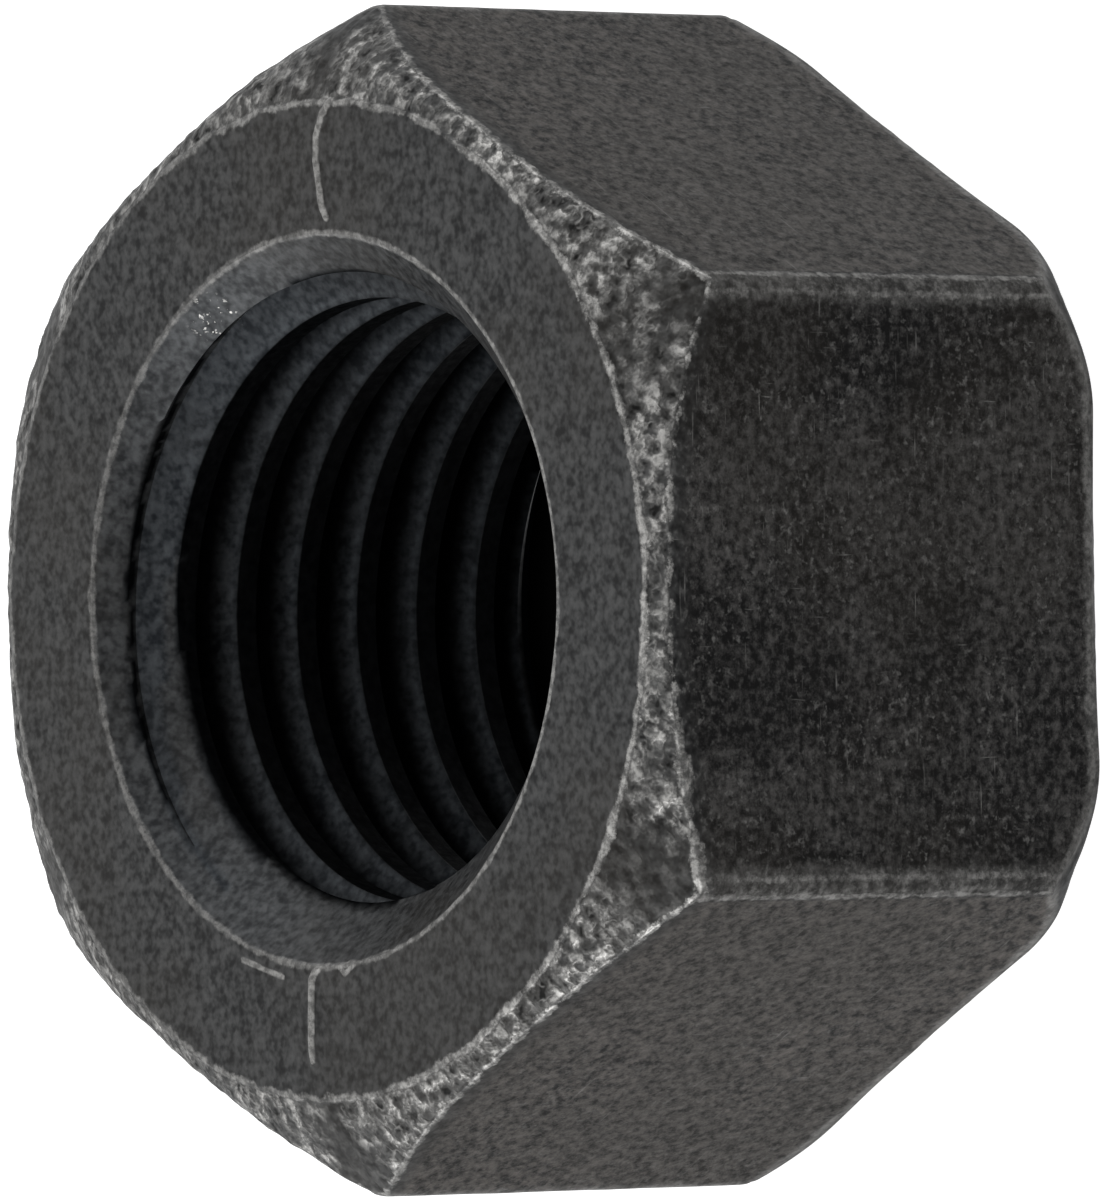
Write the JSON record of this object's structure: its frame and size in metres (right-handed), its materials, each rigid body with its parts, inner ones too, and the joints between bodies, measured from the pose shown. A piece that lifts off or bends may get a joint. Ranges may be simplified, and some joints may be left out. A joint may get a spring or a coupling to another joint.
{
  "type": "hex nut",
  "caption": "Hexagonal nut with a right-handed threaded bore, countersunk mouths, a broad forged chamfer round the marked face and a flat bearing face.",
  "frame": {"origin": "centre of the bearing face, on the thread's axis", "axes": "+Z along the thread's axis from the bearing face to the marked face, +X towards a corner of the hexagon, +Y square to a flat"},
  "size_m": [0.0528, 0.046, 0.0258],
  "materials": {
    "black_steel": "black oxide skin, fine grain, worn bright along the edges"
  },
  "bodies": {
    "root": {"nut_body": "black_steel"}
  },
  "joints": []
}
